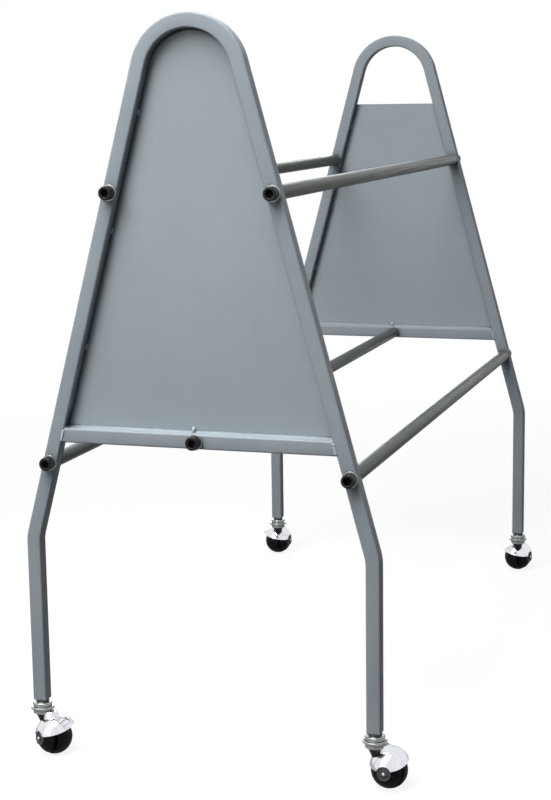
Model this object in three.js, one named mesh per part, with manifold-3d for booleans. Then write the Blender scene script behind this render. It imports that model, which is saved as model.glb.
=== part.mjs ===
import * as THREE from "three";
import { mergeVertices } from "three/addons/utils/BufferGeometryUtils.js";
import Module from "manifold-3d";

// A two-tier ball cart: two arched end frames with sheet panels, five rails bolted between them,
// and four hooded ball casters. Millimetres; X across, Y along the rails, Z up from the floor.

const wasm = await Module();
wasm.setup();

// Driving dimensions of the cart
const cart_length = 1070;
const cart_width = 486;
const arch_top_height = 981;
const arch_outer_radius = 77;
const bend_height = 304;
const bend_radius = 60;
const leg_end_height = 75;
const crossbar_height = 443.5;
const upper_rail_height = 760;
const lower_rail_height = 406;

// Tube, sheet and rail stock
const tube_size = 19.05;
const tube_wall = 1.2;
const tube_corner_radius = 2.4;
const rail_diameter = 19.05;
const rail_wall = 1.2;
const panel_thickness = 1.2;
const panel_edge_gap = 0.8;
const panel_arch_extra_radius = 0.7;
const far_panel_top_height = 860;

// Rail bolts and the threaded ends of the rails
const bolt_shank_diameter = 12;
const bolt_head_diameter = 18;
const bolt_head_height = 12;
const bolt_head_chamfer = 0.9;
const bolt_socket_width = 10;
const bolt_socket_depth = 6;
const washer_diameter = 21;
const washer_thickness = 1.6;
const bolt_engagement = 16;
const rail_end_length = 24;

// Casters: the arm comes down almost under the stem, and the ball stands to the side of it and behind
const ball_diameter = 48;
const caster_trail = 17;
const caster_side_offset = 7.2;
const axle_tilt = THREE.MathUtils.degToRad(6);
const axle_diameter = 6;
const axle_head_diameter = 7.6;
const axle_head_height = 1.6;
const hood_wall = 1.3;
const hood_ball_gap = 1.5;
const hood_side_extra = 2.5;
const hood_crown_extra = 1.5;
const hood_rim_height = 35;
const hood_rim_rise_share = 0.2;
const hood_rim_trail_rise_share = 0.07;
const arm_thickness = 2.2;
const arm_offset = 10;
const arm_boss_diameter = 13;
const wheel_slot_gap = 0.8;
const wheel_pole_diameter = 15;
const cap_shoulder_diameter = 23;
const cap_boss_diameter = 18.4;
const cap_boss_reach = 24.6;
const cap_boss_gap = 0.8;
const stem_diameter = 9;
const stem_insertion = 32;
const stem_ring_diameter = 26.6;
const stem_ring_height = 5.4;
const race_diameter = 32;
const race_height = 3.4;
const groove_diameter = 23;
const groove_height = 2.6;
const collar_diameter = 26;
const collar_height = 3.6;
const ring_edge_chamfer = 0.7;
const neck_diameter = 20;
const neck_tip_diameter = 4;
const neck_tip_height = 37;
const saddle_top_diameter = 13;
const saddle_top_offset = 9;
const saddle_foot_diameter = 32;
const saddle_foot_height = 38;
const nut_width = 17;
const nut_height = 3.6;
const leg_socket_length = 34;

// Headings of the casters: the way each one trails, turned from +X
const near_left_heading = THREE.MathUtils.degToRad(-35);
const near_right_heading = THREE.MathUtils.degToRad(-4);
const far_left_heading = THREE.MathUtils.degToRad(85);
const far_right_heading = THREE.MathUtils.degToRad(76);

// Clearances, and the overrun of every cut
const seat_gap = 0.3;
const swivel_gap = 0.5;
const cut_overrun = 5;

// Facets
const corner_facets = 2;
const bend_facets = 4;
const arch_facets = 20;
const hole_facets = 12;
const small_facets = 16;
const round_facets = 20;
const ball_facets = 20;
const ball_rings = 9;
const cap_rings = 3;

// Sizes worked out from those above
const half_width = cart_width / 2;
const half_tube = tube_size / 2;
const end_frame_y = cart_length / 2 - half_tube;
const arch_centre_height = arch_top_height - arch_outer_radius;
const slant_span = Math.hypot(half_width, arch_centre_height - bend_height);
const slant_angle = Math.acos(arch_outer_radius / slant_span)
  - Math.atan2(arch_centre_height - bend_height, half_width);
const bolt_hole_diameter = bolt_shank_diameter + 2 * seat_gap;
const ball_radius = ball_diameter / 2;

// Finishes
function finish(color, roughness, metalness) {
  return new THREE.MeshStandardMaterial({ color, roughness, metalness });
}

const frame_paint = finish(0x8f979e, 0.45, 0.2);
const rail_paint = finish(0x7d827f, 0.3, 0.5);
const black_steel = finish(0x15161a, 0.4, 0.5);
const zinc = finish(0xaab0b2, 0.35, 0.9);
const chrome = finish(0xe4e7ea, 0.08, 1.0);
const black_rubber = finish(0x0d0d0f, 0.4, 0.0);
const grey_cap = finish(0x4a4b4e, 0.4, 0.2);

// Solids from geometries and back
function solid(geometry) {
  const bare = geometry.clone();
  bare.deleteAttribute("normal");
  bare.deleteAttribute("uv");
  const merged = mergeVertices(bare);
  const points = merged.attributes.position;
  const corners = merged.index.array;
  const triangles = [];
  let volume = 0;
  const [a, b, c] = [new THREE.Vector3(), new THREE.Vector3(), new THREE.Vector3()];
  for (let i = 0; i < corners.length; i += 3) {
    const [p, q, r] = [corners[i], corners[i + 1], corners[i + 2]];
    if (p === q || q === r || r === p) continue;
    triangles.push([p, q, r]);
    a.fromBufferAttribute(points, p);
    b.fromBufferAttribute(points, q);
    c.fromBufferAttribute(points, r);
    volume += a.dot(b.cross(c));
  }
  const outward = volume > 0 ? triangles : triangles.map(([p, q, r]) => [p, r, q]);
  return new wasm.Manifold(new wasm.Mesh({
    numProp: 3,
    vertProperties: new Float32Array(points.array),
    triVerts: new Uint32Array(outward.flat()),
  }));
}

function geometryOf(body) {
  const mesh = body.getMesh();
  const geometry = new THREE.BufferGeometry();
  geometry.setAttribute("position", new THREE.BufferAttribute(new Float32Array(mesh.vertProperties), 3));
  geometry.setIndex(new THREE.BufferAttribute(new Uint32Array(mesh.triVerts), 1));
  geometry.computeVertexNormals();
  return geometry;
}

function piece(name, body, material, group) {
  const mesh = new THREE.Mesh(geometryOf(body), material);
  mesh.name = name;
  group.add(mesh);
  return mesh;
}

// A solid turned from a closed profile of [radius, height] points, standing on Z
function turned(profile, facets) {
  const points = profile.map(([radius, height]) => new THREE.Vector2(radius, height));
  const lathe = new THREE.LatheGeometry(points, facets);
  return solid(lathe.rotateX(Math.PI / 2));
}

// A straight prism of a shape, standing on Z from low to high
function prism(shape, low, high, facets = hole_facets) {
  const geometry = new THREE.ExtrudeGeometry(shape, {
    depth: high - low,
    bevelEnabled: false,
    curveSegments: facets,
  });
  return solid(geometry.translate(0, 0, low));
}

function rod(diameter, low, high, facets = hole_facets) {
  const radius = diameter / 2;
  return turned([[0, low], [radius, low], [radius, high], [0, high]], facets);
}

// A ball scaled to the half sizes given
function ellipsoid(half_sizes) {
  const geometry = new THREE.SphereGeometry(1, ball_facets, ball_rings);
  return solid(geometry.scale(...half_sizes));
}

function alongY(body) {
  return body.rotate([-90, 0, 0]);
}

// Square tube
function roundedSquare(size, radius) {
  const half = size / 2;
  const points = [];
  for (let corner = 0; corner < 4; corner += 1) {
    const turn = corner * Math.PI / 2;
    const centre = new THREE.Vector2(half - radius, half - radius).rotateAround(new THREE.Vector2(), turn);
    for (let step = 0; step <= corner_facets; step += 1) {
      const angle = turn + step / corner_facets * Math.PI / 2;
      points.push(new THREE.Vector2(radius, 0).rotateAround(new THREE.Vector2(), angle).add(centre));
    }
  }
  return points;
}

function squareOutline(size) {
  const half = size / 2;
  return [[-half, -half], [half, -half], [half, half], [-half, half]].map(([x, y]) => new THREE.Vector2(x, y));
}

function squareTubeSection() {
  const section = new THREE.Shape(roundedSquare(tube_size, tube_corner_radius));
  section.holes.push(new THREE.Path(squareOutline(tube_size - 2 * tube_wall)));
  return section;
}

// A path through given stations, each a point with its direction, so that straight runs need no rings
class StationPath extends THREE.Curve {
  constructor(stations) {
    super();
    this.stations = stations;
  }

  station(share) {
    return this.stations[Math.round(share * (this.stations.length - 1))];
  }

  getPoint(share) {
    return this.station(share).point.clone();
  }

  getPointAt(share) {
    return this.getPoint(share);
  }

  getTangentAt(share) {
    return this.station(share).direction.clone();
  }
}

// The frame's line, seen along Y: the slanted legs' centre line is offset inwards from their outer faces
function slantX(height, inset) {
  const across = half_width * Math.cos(slant_angle) + bend_height * Math.sin(slant_angle) - inset;
  return (across - height * Math.sin(slant_angle)) / Math.cos(slant_angle);
}

function halfFrameStations() {
  const stations = [];
  const put = (x, z, angle) => stations.push({
    point: new THREE.Vector3(x, 0, z),
    direction: new THREE.Vector3(Math.sin(angle), 0, Math.cos(angle)),
  });
  const leg_x = half_width - half_tube;
  const corner_height = bend_height - half_tube * Math.tan(slant_angle / 2);
  const bend_start = corner_height - bend_radius * Math.tan(slant_angle / 2);
  put(-leg_x, leg_end_height, 0);
  for (let step = 0; step <= bend_facets; step += 1) {
    const angle = step / bend_facets * slant_angle;
    put(-leg_x + bend_radius * (1 - Math.cos(angle)), bend_start + bend_radius * Math.sin(angle), angle);
  }
  const arch_radius = arch_outer_radius - half_tube;
  for (let step = 0; step < arch_facets / 2; step += 1) {
    const angle = slant_angle + step / (arch_facets / 2) * (Math.PI / 2 - slant_angle);
    put(-arch_radius * Math.cos(angle), arch_centre_height + arch_radius * Math.sin(angle), angle);
  }
  return stations;
}

function frameStations() {
  const left = halfFrameStations();
  const top = {
    point: new THREE.Vector3(0, 0, arch_top_height - half_tube),
    direction: new THREE.Vector3(1, 0, 0),
  };
  const right = left.map(({ point, direction }) => ({
    point: new THREE.Vector3(-point.x, 0, point.z),
    direction: new THREE.Vector3(direction.x, 0, -direction.z),
  })).reverse();
  return [...left, top, ...right];
}

// Where the rails and their bolts run, seen along Y
const rail_places = {
  upper_left: [-slantX(upper_rail_height, half_tube), upper_rail_height],
  upper_right: [slantX(upper_rail_height, half_tube), upper_rail_height],
  lower_left: [-slantX(lower_rail_height, half_tube), lower_rail_height],
  lower_right: [slantX(lower_rail_height, half_tube), lower_rail_height],
  lower_centre: [0, crossbar_height],
};

function boltHoles(names) {
  return names.map((name) => {
    const [x, z] = rail_places[name];
    return alongY(rod(bolt_hole_diameter, -half_tube - cut_overrun, half_tube + cut_overrun))
      .translate([x, 0, z]);
  });
}

function endFrame() {
  const stations = frameStations();
  const geometry = new THREE.ExtrudeGeometry(squareTubeSection(), {
    steps: stations.length - 1,
    extrudePath: new StationPath(stations),
  });
  const holes = boltHoles(["upper_left", "upper_right", "lower_left", "lower_right"]);
  return holes.reduce((tube, hole) => tube.subtract(hole), solid(geometry));
}

// The crossbar is cut at its ends along the inner faces of the slanted legs
function crossbar() {
  const reach = half_width;
  const bar = prism(squareTubeSection(), -reach, reach).rotate([0, 90, 0]).translate([0, 0, crossbar_height]);
  const inset = tube_size + seat_gap;
  const block_size = 2 * tube_size + 2 * reach;
  let cut = bar;
  for (const side of [-1, 1]) {
    const block = solid(new THREE.BoxGeometry(block_size, block_size, block_size))
      .translate([block_size / 2, 0, 0])
      .rotate([0, THREE.MathUtils.radToDeg(-slant_angle), 0])
      .translate([slantX(crossbar_height, inset), 0, crossbar_height]);
    cut = cut.subtract(side > 0 ? block : block.mirror([1, 0, 0]));
  }
  const [hole] = boltHoles(["lower_centre"]);
  return cut.subtract(hole);
}

// Each panel lies at the rear edge of the tube, and the far one ends level below the open arch
function panel(end) {
  const inset = tube_size + panel_edge_gap;
  const arch_radius = arch_outer_radius - inset + panel_arch_extra_radius;
  const centre_height = arch_centre_height - panel_arch_extra_radius / Math.sin(slant_angle);
  const foot = crossbar_height + half_tube + seat_gap;
  const outline = new THREE.Shape();
  outline.moveTo(-slantX(foot, inset), foot);
  outline.lineTo(slantX(foot, inset), foot);
  if (end === "near") {
    outline.absarc(0, centre_height, arch_radius, slant_angle, Math.PI - slant_angle, false);
  } else {
    outline.lineTo(slantX(far_panel_top_height, inset), far_panel_top_height);
    outline.lineTo(-slantX(far_panel_top_height, inset), far_panel_top_height);
  }
  outline.closePath();
  const back = half_tube - tube_corner_radius;
  return prism(outline, 0, panel_thickness, arch_facets).rotate([90, 0, 0]).translate([0, back, 0]);
}

// Rails run between the inner faces of the end frames
const rail_length = cart_length - 2 * tube_size - 2 * seat_gap;

function tubeLength(outer_diameter, inner_diameter, low, high, facets) {
  const [outer, inner] = [outer_diameter / 2, inner_diameter / 2];
  return turned([[inner, low], [outer, low], [outer, high], [inner, high], [inner, low]], facets);
}

function rail() {
  const inner_diameter = rail_diameter - 2 * rail_wall;
  return alongY(tubeLength(rail_diameter, inner_diameter, -rail_length / 2, rail_length / 2, round_facets));
}

function railEnd() {
  const outer_diameter = rail_diameter - 2 * rail_wall - 2 * seat_gap;
  return alongY(tubeLength(outer_diameter, bolt_hole_diameter, 0, rail_end_length, small_facets));
}

// The bolt stands on the frame's outer face at Y 0, with its head towards -Y
function railBolt() {
  const head = bolt_head_diameter / 2;
  const washer = washer_diameter / 2;
  const shank = bolt_shank_diameter / 2;
  const seat = -seat_gap;
  const face = seat - washer_thickness;
  const top = face - bolt_head_height;
  const tip = tube_size + bolt_engagement;
  const blank = turned([
    [0, top],
    [head - bolt_head_chamfer, top],
    [head, top + bolt_head_chamfer],
    [head, face],
    [washer, face],
    [washer, seat],
    [shank, seat],
    [shank, tip],
    [0, tip],
  ], small_facets);
  const socket_diameter = bolt_socket_width / Math.cos(Math.PI / 6);
  const socket = rod(socket_diameter, top - cut_overrun, top + bolt_socket_depth, 6);
  return alongY(blank.subtract(socket));
}

// Casters: heights of the stacked rings under the leg
const nut_top = leg_end_height - seat_gap;
const ring_top = nut_top - nut_height - seat_gap;
const ring_bottom = ring_top - stem_ring_height;
const race_top = ring_bottom - swivel_gap;
const race_bottom = race_top - race_height;
const collar_top = race_bottom - groove_height;
const collar_bottom = collar_top - collar_height;
const stem_foot = collar_bottom - stem_diameter / 2;

function legSocket() {
  const section = new THREE.Shape(squareOutline(tube_size - 2 * tube_wall - 2 * seat_gap));
  const bore = new THREE.Path();
  bore.absarc(0, 0, stem_diameter / 2 + seat_gap, 0, 2 * Math.PI, true);
  section.holes.push(bore);
  return prism(section, leg_end_height, leg_end_height + leg_socket_length);
}

function stemNut() {
  const radius = nut_width / 2 / Math.cos(Math.PI / 6);
  const hexagon = rod(2 * radius, nut_top - nut_height, nut_top, 6);
  const bore = rod(stem_diameter + 2 * seat_gap, leg_end_height - 2 * nut_height - cut_overrun, leg_end_height);
  return hexagon.subtract(bore);
}

function casterStem() {
  const pin = stem_diameter / 2;
  const ring = stem_ring_diameter / 2;
  return turned([
    [0, stem_foot],
    [pin, stem_foot],
    [pin, ring_bottom],
    [ring, ring_bottom],
    [ring, ring_top - ring_edge_chamfer],
    [ring - ring_edge_chamfer, ring_top],
    [pin, ring_top],
    [pin, leg_end_height + stem_insertion],
    [0, leg_end_height + stem_insertion],
  ], small_facets);
}

// The axle line: through the ball's centre, across the trail, tilted up towards the hub cap at -Y
const ball_centre = [caster_trail, caster_side_offset, ball_radius];

function onAxle(body) {
  return body
    .rotate([90 - THREE.MathUtils.radToDeg(axle_tilt), 0, 0])
    .translate(ball_centre);
}

// Everything on the axle is turned about Z first, with Z running out through the hub cap
const arm_outer = arm_offset + arm_thickness / 2;
const arm_inner = arm_offset - arm_thickness / 2;
const axle_hole_radius = axle_diameter / 2 + seat_gap;

// Points on the ball's surface between two distances along the axle
function ballArc(from, to, rings) {
  const start = Math.asin(from / ball_radius);
  const end = Math.asin(to / ball_radius);
  const points = [];
  for (let ring = 0; ring <= rings; ring += 1) {
    const angle = start + ring / rings * (end - start);
    points.push([ball_radius * Math.cos(angle), ball_radius * Math.sin(angle)]);
  }
  return points;
}

function ballWheel() {
  const face = arm_inner - wheel_slot_gap;
  const pole = -Math.sqrt(ball_radius ** 2 - (wheel_pole_diameter / 2) ** 2);
  return onAxle(turned([
    [axle_hole_radius, face],
    ...ballArc(face, pole, ball_rings),
    [axle_hole_radius, pole],
    [axle_hole_radius, face],
  ], ball_facets));
}

function hubCap() {
  const face = arm_outer + wheel_slot_gap;
  const shoulder = Math.sqrt(ball_radius ** 2 - (cap_shoulder_diameter / 2) ** 2);
  const boss = cap_boss_diameter / 2;
  return onAxle(turned([
    [axle_hole_radius, face],
    ...ballArc(face, shoulder, cap_rings),
    [boss, shoulder],
    [boss, cap_boss_reach - ring_edge_chamfer],
    [boss - ring_edge_chamfer, cap_boss_reach],
    [axle_hole_radius, cap_boss_reach],
    [axle_hole_radius, face],
  ], ball_facets));
}

function axlePin() {
  const pin = axle_diameter / 2;
  const head = axle_head_diameter / 2;
  const cap_top = cap_boss_reach + seat_gap;
  const end = -ball_radius + wheel_pole_diameter / 4;
  return onAxle(turned([
    [0, end],
    [pin, end],
    [pin, cap_top],
    [head, cap_top],
    [head, cap_top + axle_head_height / 2],
    [pin, cap_top + axle_head_height],
    [0, cap_top + axle_head_height],
  ], hole_facets));
}

// The arm comes down from the hood to the axle, between the wheel and the hub cap
function arm(reach) {
  const boss = arm_boss_diameter / 2;
  const outline = new THREE.Shape();
  outline.absarc(0, 0, boss, Math.PI, 2 * Math.PI, false);
  outline.lineTo(reach, reach);
  outline.lineTo(-reach, reach);
  outline.closePath();
  return onAxle(prism(outline, arm_inner, arm_outer, small_facets));
}

// The dome stands wider than the ball on the side away from the hub cap, and higher at the crown
function dome(gap) {
  const radius = ball_radius + gap;
  const half_sizes = [radius, radius + hood_side_extra, radius + hood_crown_extra];
  return ellipsoid(half_sizes)
    .translate([caster_trail, caster_side_offset + hood_side_extra, ball_radius + hood_crown_extra]);
}

function casterHood() {
  const outer_radius = ball_radius + hood_ball_gap + hood_wall;
  const outer = dome(hood_ball_gap + hood_wall);
  const inner = dome(hood_ball_gap);
  const neck = turned([
    [0, neck_tip_height],
    [neck_tip_diameter / 2, neck_tip_height],
    [neck_diameter / 2, collar_bottom],
    [collar_diameter / 2, collar_bottom],
    [collar_diameter / 2, collar_top],
    [groove_diameter / 2, collar_top],
    [groove_diameter / 2, race_bottom],
    [race_diameter / 2, race_bottom],
    [race_diameter / 2, race_top - ring_edge_chamfer],
    [race_diameter / 2 - ring_edge_chamfer, race_top],
    [0, race_top],
  ], round_facets);
  const block_size = 6 * outer_radius;
  const block = solid(new THREE.BoxGeometry(block_size, block_size, block_size));
  const saddle_rise = race_bottom - saddle_foot_height;
  const ball_run = Math.hypot(caster_trail, caster_side_offset);
  const saddle_run = ball_run - saddle_top_offset;
  const saddle_length = Math.hypot(saddle_run, saddle_rise);
  const saddle = turned([
    [0, 0],
    [saddle_foot_diameter / 2, 0],
    [saddle_top_diameter / 2, saddle_length],
    [0, saddle_length],
  ], round_facets)
    .rotate([0, THREE.MathUtils.radToDeg(-Math.atan2(saddle_run, saddle_rise)), 0])
    .translate([ball_run, 0, saddle_foot_height])
    .rotate([0, 0, THREE.MathUtils.radToDeg(Math.atan2(caster_side_offset, caster_trail))])
    .subtract(block.translate([0, 0, collar_top + block_size / 2]));
  const below_rim = block
    .translate([0, 0, -block_size / 2])
    .rotate([THREE.MathUtils.radToDeg(Math.atan(hood_rim_rise_share)), 0, 0])
    .rotate([0, THREE.MathUtils.radToDeg(-Math.atan(hood_rim_trail_rise_share)), 0])
    .translate([caster_trail, caster_side_offset, hood_rim_height]);
  const shell = outer.add(saddle).subtract(below_rim);
  const hanger = arm(outer_radius).intersect(outer);
  const boss_bore = onAxle(rod(cap_boss_diameter + 2 * cap_boss_gap, arm_outer, block_size, small_facets));
  const axle_bore = onAxle(rod(axle_diameter + 2 * seat_gap, 0, ball_radius));
  const stem_bore = rod(stem_diameter + 2 * seat_gap, stem_foot - swivel_gap, race_top + cut_overrun);
  return shell.add(neck)
    .subtract(inner)
    .subtract(boss_bore)
    .add(hanger)
    .subtract(axle_bore)
    .subtract(stem_bore);
}

function caster(place, x, y, heading, cart) {
  const fixed = new THREE.Group();
  fixed.position.set(x, y, 0);
  cart.add(fixed);
  piece(`leg_socket_${place}`, legSocket(), zinc, fixed);
  piece(`stem_nut_${place}`, stemNut(), zinc, fixed);
  piece(`caster_stem_${place}`, casterStem(), chrome, fixed);
  const turning = new THREE.Group();
  turning.rotation.z = heading;
  fixed.add(turning);
  piece(`caster_hood_${place}`, casterHood(), chrome, turning);
  piece(`ball_wheel_${place}`, ballWheel(), black_rubber, turning);
  piece(`hub_cap_${place}`, hubCap(), grey_cap, turning);
  piece(`axle_${place}`, axlePin(), chrome, turning);
}

// Assembly
const cart = new THREE.Group();

for (const [end, side] of [["near", -1], ["far", 1]]) {
  const group = new THREE.Group();
  group.position.y = side * end_frame_y;
  cart.add(group);
  piece(`end_frame_${end}`, endFrame(), frame_paint, group);
  piece(`crossbar_${end}`, crossbar(), frame_paint, group);
  piece(`end_panel_${end}`, panel(end), frame_paint, group);
}

for (const [place, [x, z]] of Object.entries(rail_places)) {
  piece(`rail_${place}`, rail(), rail_paint, cart).position.set(x, 0, z);
  for (const [end, side] of [["near", -1], ["far", 1]]) {
    const turn = side < 0 ? 0 : Math.PI;
    const rail_end = piece(`rail_end_${place}_${end}`, railEnd(), zinc, cart);
    rail_end.position.set(x, side * rail_length / 2, z);
    rail_end.rotation.z = turn;
    const bolt = piece(`rail_bolt_${place}_${end}`, railBolt(), black_steel, cart);
    bolt.position.set(x, side * cart_length / 2, z);
    bolt.rotation.z = turn;
  }
}

const leg_x = half_width - half_tube;
caster("near_left", -leg_x, -end_frame_y, near_left_heading, cart);
caster("near_right", leg_x, -end_frame_y, near_right_heading, cart);
caster("far_left", -leg_x, end_frame_y, far_left_heading, cart);
caster("far_right", leg_x, end_frame_y, far_right_heading, cart);

// The origin is on the floor under the middle of the whole cart
const extent = new THREE.Box3().setFromObject(cart, true);
const middle = extent.getCenter(new THREE.Vector3());
cart.position.set(-middle.x, -middle.y, -extent.min.z);

export default cart;
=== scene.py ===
import math

import bmesh
import bpy
from mathutils import Euler, Matrix, Vector, noise


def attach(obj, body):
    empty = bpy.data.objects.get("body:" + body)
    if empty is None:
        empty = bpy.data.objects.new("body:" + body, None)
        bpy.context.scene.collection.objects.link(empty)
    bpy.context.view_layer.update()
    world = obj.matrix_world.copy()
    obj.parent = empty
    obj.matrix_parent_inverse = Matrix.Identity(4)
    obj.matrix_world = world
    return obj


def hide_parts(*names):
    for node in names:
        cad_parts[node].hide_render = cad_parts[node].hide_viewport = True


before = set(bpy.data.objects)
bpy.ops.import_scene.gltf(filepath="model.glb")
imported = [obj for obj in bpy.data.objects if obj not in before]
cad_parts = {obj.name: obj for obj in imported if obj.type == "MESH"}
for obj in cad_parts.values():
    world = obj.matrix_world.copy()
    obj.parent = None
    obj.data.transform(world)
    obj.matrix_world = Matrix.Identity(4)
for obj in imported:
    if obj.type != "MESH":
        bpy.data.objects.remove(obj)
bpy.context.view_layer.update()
scene = bpy.context.scene

# Sizes of the cart, in metres
MM = 0.001
CART_LENGTH = 1070 * MM
CART_WIDTH = 486 * MM
ARCH_TOP = 981 * MM
ARCH_RADIUS = 77 * MM
BEND_HEIGHT = 304 * MM
BEND_RADIUS = 60 * MM
LEG_END = 75 * MM
CROSSBAR_HEIGHT = 443.5 * MM
UPPER_RAIL = 760 * MM
LOWER_RAIL = 406 * MM
TUBE = 19.05 * MM
TUBE_WALL = 1.2 * MM
TUBE_CORNER = 2.4 * MM
RAIL_DIAMETER = 19.05 * MM
RAIL_WALL = 1.2 * MM
PANEL_THICKNESS = 1.2 * MM
PANEL_EDGE_GAP = 0.8 * MM
PANEL_ARCH_EXTRA = 0.7 * MM
PANEL_EDGE = 0.25 * MM
PANEL_MIDDLE = Vector((0, 0.7))
ARCH_STEPS = 64
FAR_PANEL_TOP = 860 * MM
FOOT_FILLET = 3.4 * MM
TUBE_BEVEL = 0.3 * MM
SEAM_LAP, SEAM_REACH, SEAM_ARCH_REACH = 0.2 * MM, 0.4 * MM, 3.4 * MM
SEAM_PROUD, SEAM_EDGE = 0.1 * MM, 0.35 * MM
SEAT_GAP = 0.3 * MM
SWIVEL_GAP = 0.5 * MM
CENTRE_SHIFT = Vector((-4.3786, -6.6140, -0.0835)) * MM

HALF_WIDTH = CART_WIDTH / 2
HALF_TUBE = TUBE / 2
FRAME_Y = CART_LENGTH / 2 - HALF_TUBE
ARCH_CENTRE = ARCH_TOP - ARCH_RADIUS
SLANT_SPAN = math.hypot(HALF_WIDTH, ARCH_CENTRE - BEND_HEIGHT)
SLANT = math.acos(ARCH_RADIUS / SLANT_SPAN) - math.atan2(ARCH_CENTRE - BEND_HEIGHT, HALF_WIDTH)


def slant_x(height, inset):
    across = HALF_WIDTH * math.cos(SLANT) + BEND_HEIGHT * math.sin(SLANT) - inset
    return (across - height * math.sin(SLANT)) / math.cos(SLANT)


RAILS = {
    "upper_left": (-slant_x(UPPER_RAIL, HALF_TUBE), UPPER_RAIL),
    "upper_right": (slant_x(UPPER_RAIL, HALF_TUBE), UPPER_RAIL),
    "lower_left": (-slant_x(LOWER_RAIL, HALF_TUBE), LOWER_RAIL),
    "lower_right": (slant_x(LOWER_RAIL, HALF_TUBE), LOWER_RAIL),
    "lower_centre": (0.0, CROSSBAR_HEIGHT),
}
ENDS = {"near": -1, "far": 1}

# Casters: places, headings and sizes
LEG_X = HALF_WIDTH - HALF_TUBE
CASTERS = {
    "near_left": (-LEG_X, -FRAME_Y, -35),
    "near_right": (LEG_X, -FRAME_Y, -4),
    "far_left": (-LEG_X, FRAME_Y, 85),
    "far_right": (LEG_X, FRAME_Y, 76),
}
BALL_RADIUS = 24 * MM
TRAIL = 17 * MM
SIDE_OFFSET = 7.2 * MM
AXLE_TILT = math.radians(6)
HOOD_WALL = 1.3 * MM
HOOD_GAP = 1.5 * MM
HOOD_SIDE_EXTRA = 2.5 * MM
HOOD_CROWN_EXTRA = 1.5 * MM
RIM_HEIGHT = 35 * MM
RIM_RISE = 0.2
RIM_TRAIL_RISE = 0.07
ARM_OFFSET = 10 * MM
ARM_THICKNESS = 2.2 * MM
ARM_BOSS = 6.5 * MM
SLOT_GAP = 0.8 * MM
AXLE_RADIUS = 3 * MM
AXLE_HEAD = 3.8 * MM
AXLE_HEAD_HEIGHT = 1.6 * MM
WHEEL_POLE = 7.5 * MM
CAP_SHOULDER = 11.5 * MM
CAP_BOSS = 9.2 * MM
CAP_REACH = 24.6 * MM
STEM_RADIUS = 4.5 * MM
NUT_TOP = LEG_END - SEAT_GAP
NUT_HEIGHT = 3.6 * MM
RING_TOP = NUT_TOP - NUT_HEIGHT - SEAT_GAP
RING_BOTTOM = RING_TOP - 5.4 * MM
RACE_TOP = RING_BOTTOM - SWIVEL_GAP
RACE_BOTTOM = RACE_TOP - 3.4 * MM
COLLAR_TOP = RACE_BOTTOM - 2.6 * MM
COLLAR_BOTTOM = COLLAR_TOP - 3.6 * MM
STEM_FOOT = COLLAR_BOTTOM - STEM_RADIUS
NECK_TIP = 37 * MM
SADDLE_FOOT, SADDLE_FOOT_RADIUS = 38 * MM, 16 * MM
SADDLE_TOP_OFFSET, SADDLE_TOP_RADIUS = 9 * MM, 6.5 * MM
BLOCK = 0.2

SMOOTH_ANGLE = math.radians(35)


# Mesh helpers
def add_object(name, data):
    made = bpy.data.objects.new(name, data)
    scene.collection.objects.link(made)
    return made


def mesh_from(name, bm):
    bmesh.ops.recalc_face_normals(bm, faces=bm.faces)
    mesh = bpy.data.meshes.new(name)
    bm.to_mesh(mesh)
    bm.free()
    return mesh


def place_object(name, bm, materials, body, replaced=(), smooth=SMOOTH_ANGLE):
    return dress(name, mesh_from(name, bm), materials, body, replaced, smooth)


def place_end(name, bm, paint, end, replaced=(), smooth=SMOOTH_ANGLE):
    """Places a piece of an end frame, made about the middle of its tube."""
    piece = place_object(f"{name}_{end}", bm, paint, "cart", replaced, smooth)
    piece.location = CENTRE_SHIFT + Vector((0, ENDS[end] * FRAME_Y, 0))


def dress(name, mesh, materials, body, replaced=(), smooth=SMOOTH_ANGLE):
    chosen = [face.material_index for face in mesh.polygons]
    mesh.materials.clear()
    for material in materials if isinstance(materials, tuple) else (materials,):
        mesh.materials.append(material)
    for face, index in zip(mesh.polygons, chosen):
        face.use_smooth = True
        face.material_index = index
    mesh.set_sharp_from_angle(angle=smooth)
    piece = add_object(name, mesh)
    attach(piece, body)
    if replaced:
        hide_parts(*replaced)
    return piece


def skin(bm, ring_a, ring_b, closed=True):
    if len(ring_a) == 1 and len(ring_b) == 1:
        return
    count = max(len(ring_a), len(ring_b))
    for k in range(count if closed else count - 1):
        n = (k + 1) % count
        if len(ring_a) == 1:
            corners = (ring_a[0], ring_b[n], ring_b[k])
        elif len(ring_b) == 1:
            corners = (ring_a[k], ring_a[n], ring_b[0])
        else:
            corners = (ring_a[k], ring_a[n], ring_b[n], ring_b[k])
        bm.faces.new(corners)


def rounded(points, steps=4):
    """Turns [(r, z, fillet)] into a profile with its corners rounded."""
    made = []
    for i, (r, z, fillet) in enumerate(points):
        here = Vector((r, z))
        if fillet <= 0 or i in (0, len(points) - 1):
            made.append((r, z))
            continue
        before = Vector(points[i - 1][:2]) - here
        after = Vector(points[i + 1][:2]) - here
        reach = min(fillet, before.length * 0.45, after.length * 0.45)
        a, b = here + before.normalized() * reach, here + after.normalized() * reach
        for step in range(steps + 1):
            t = step / steps
            point = a * (1 - t) ** 2 + here * (2 * t * (1 - t)) + b * t**2
            made.append((point.x, point.y))
    return made


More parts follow.
